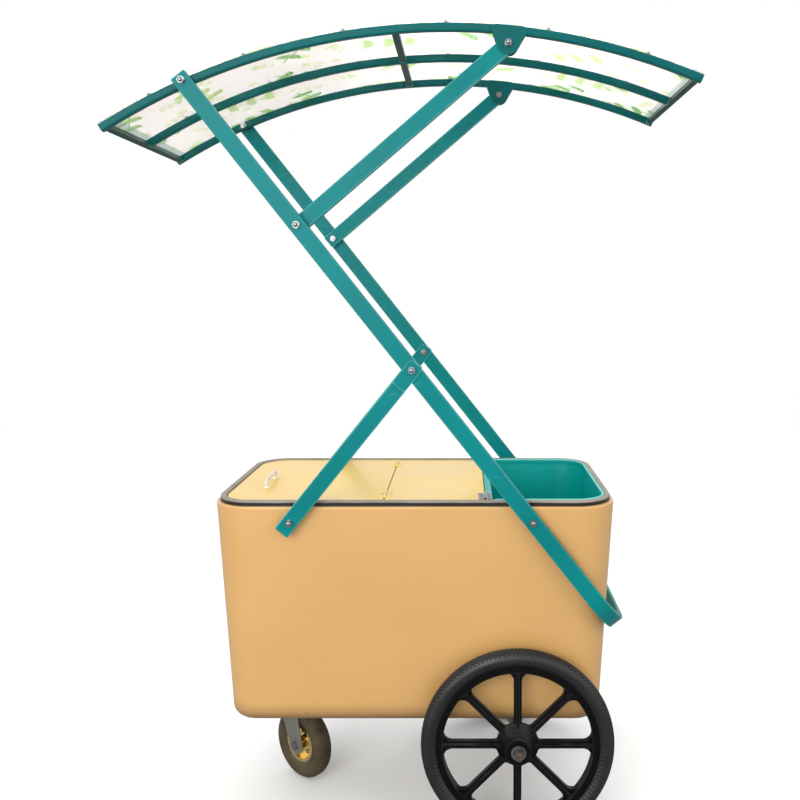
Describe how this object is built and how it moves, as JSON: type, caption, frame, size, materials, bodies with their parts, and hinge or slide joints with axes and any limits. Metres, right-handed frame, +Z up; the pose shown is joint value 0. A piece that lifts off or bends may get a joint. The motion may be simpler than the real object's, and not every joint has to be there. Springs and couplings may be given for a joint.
{
  "type": "insulated cart",
  "caption": "Insulated box cart on spoked wheels and a swivel caster, with a folding lid, an open bin and a braced folding frame that carries an arched canopy.",
  "frame": {"origin": "on the ground under the middle of the bounding box, which is the middle of the canopy's length", "axes": "+X along the box towards the spoked wheels, +Y from the pictured front to the rear, +Z up"},
  "size_m": [1.4676, 0.7524, 2.0357],
  "materials": {
    "shell_tan": "gloss",
    "lid_cream": "gloss",
    "liner_teal": "satin",
    "foam": "matte",
    "trim_rubber": "satin",
    "gasket_rubber": "matte",
    "frame_teal": "gloss",
    "bolt_steel": "satin",
    "canopy_film": "gloss",
    "wheel_black": "satin",
    "tyre_black": "matte",
    "caster_tyre_grey": "matte",
    "caster_gold": "satin",
    "zinc_grey": "satin"
  },
  "bodies": {
    "cart_body": {"outer_shell": "shell_tan", "insulation_foam": "foam", "pivot_backing_plates": "bolt_steel", "inner_liner": "liner_teal", "partition": "liner_teal", "rim_trim": "trim_rubber", "lid_ledge": "liner_teal", "lid_gasket": "gasket_rubber", "partition_hinge_fixed_leaves": "bolt_steel", "partition_hinge_pins": "bolt_steel", "pivot_spacers": "bolt_steel", "pivot_bolts": "bolt_steel", "axle": "bolt_steel", "axle_nuts": "bolt_steel", "axle_collars": "bolt_steel", "axle_brackets": "zinc_grey", "caster_top_plate": "zinc_grey", "caster_plate_bolts": "bolt_steel"},
    "front_road_wheel": {"front_wheel": "wheel_black", "front_wheel_bearings": "bolt_steel", "front_tyre": "tyre_black"},
    "rear_road_wheel": {"rear_wheel": "wheel_black", "rear_wheel_bearings": "bolt_steel", "rear_tyre": "tyre_black"},
    "caster_swivel": {"caster_fork": "zinc_grey", "caster_swivel_bearing": "zinc_grey", "caster_axle_bolt": "bolt_steel"},
    "caster_wheel": {"caster_rim": "caster_gold", "caster_wheel_bearings": "bolt_steel", "caster_tyre": "caster_tyre_grey"},
    "middle_lid_leaf": {"middle_lid": "lid_cream", "middle_lid_core": "foam", "partition_hinge_lid_leaves": "bolt_steel", "seam_hinge_middle_leaves": "bolt_steel", "seam_hinge_pins": "bolt_steel"},
    "left_lid_leaf": {"left_lid": "lid_cream", "left_lid_core": "foam", "seam_hinge_left_leaves": "bolt_steel", "lid_handle": "bolt_steel"},
    "arms": {"main_frame": "frame_teal", "stay_bolts": "bolt_steel", "canopy_pivot_bolts": "bolt_steel"},
    "front_lower_brace": {"front_brace": "frame_teal", "front_brace_fork_plates": "frame_teal", "front_brace_fork_bolts": "bolt_steel"},
    "rear_lower_brace": {"rear_brace": "frame_teal", "rear_brace_fork_plates": "frame_teal", "rear_brace_fork_bolts": "bolt_steel"},
    "front_upper_stay": {"front_stay": "frame_teal"},
    "rear_upper_stay": {"rear_stay": "frame_teal"},
    "canopy": {"front_rail": "frame_teal", "middle_rail": "frame_teal", "rear_rail": "frame_teal", "canopy_end_bars": "frame_teal", "canopy_crossbars": "frame_teal", "canopy_sheet": "canopy_film", "stay_brackets": "frame_teal", "stay_bracket_bolts": "bolt_steel", "sheet_screws": "bolt_steel"}
  },
  "joints": [
    {"name": "front_wheel_spin", "type": "hinge", "parent": "cart_body", "child": "front_road_wheel", "pos_m": [0.28897, -0.30373, 0.245], "axis": [0, 1, 0], "continuous": true},
    {"name": "rear_wheel_spin", "type": "hinge", "parent": "cart_body", "child": "rear_road_wheel", "pos_m": [0.28897, 0.30373, 0.245], "axis": [0, 1, 0], "continuous": true},
    {"name": "caster_turn", "type": "hinge", "parent": "cart_body", "child": "caster_swivel", "pos_m": [-0.33183, 0, 0.217], "axis": [0, 0, 1], "continuous": true},
    {"name": "caster_wheel_spin", "type": "hinge", "parent": "caster_swivel", "child": "caster_wheel", "pos_m": [-0.30502, -0.0225, 0.1], "axis": [0.6428, 0.766, 0], "continuous": true},
    {"name": "middle_lid_lift", "type": "hinge", "parent": "cart_body", "child": "middle_lid_leaf", "pos_m": [0.20797, 0, 0.8613], "axis": [0, 1, 0], "range_deg": [0, 100]},
    {"name": "left_lid_lift", "type": "hinge", "parent": "middle_lid_leaf", "child": "left_lid_leaf", "pos_m": [-0.05103, 0, 0.8613], "axis": [0, 1, 0], "range_deg": [0, 105]},
    {"name": "frame_fold", "type": "hinge", "parent": "cart_body", "child": "arms", "pos_m": [0.32497, 0, 0.815], "axis": [0, -1, 0], "range_deg": [0, 45]},
    {"name": "front_brace_fold", "type": "hinge", "parent": "cart_body", "child": "front_lower_brace", "pos_m": [-0.27903, -0.3, 0.815], "axis": [0, -1, 0], "range_deg": [0, 219]},
    {"name": "rear_brace_fold", "type": "hinge", "parent": "cart_body", "child": "rear_lower_brace", "pos_m": [-0.27903, 0.3, 0.815], "axis": [0, -1, 0], "range_deg": [0, 219]},
    {"name": "canopy_fold", "type": "hinge", "parent": "arms", "child": "canopy", "pos_m": [-0.51977, 0, 1.88848], "axis": [0, 1, 0], "range_deg": [0, 18]},
    {"name": "front_stay_fold", "type": "hinge", "parent": "arms", "child": "front_upper_stay", "pos_m": [-0.25077, -0.2785, 1.54663], "axis": [0, 1, 0], "range_deg": [0, 64]},
    {"name": "rear_stay_fold", "type": "hinge", "parent": "arms", "child": "rear_upper_stay", "pos_m": [-0.25077, 0.2785, 1.54663], "axis": [0, 1, 0], "range_deg": [0, 64]}
  ],
  "couplings": [
    {"joint": "front_brace_fold", "follows": "frame_fold", "ratio": 4.85},
    {"joint": "rear_brace_fold", "follows": "frame_fold", "ratio": 4.85},
    {"joint": "front_stay_fold", "follows": "canopy_fold", "ratio": 3.5},
    {"joint": "rear_stay_fold", "follows": "canopy_fold", "ratio": 3.5}
  ]
}
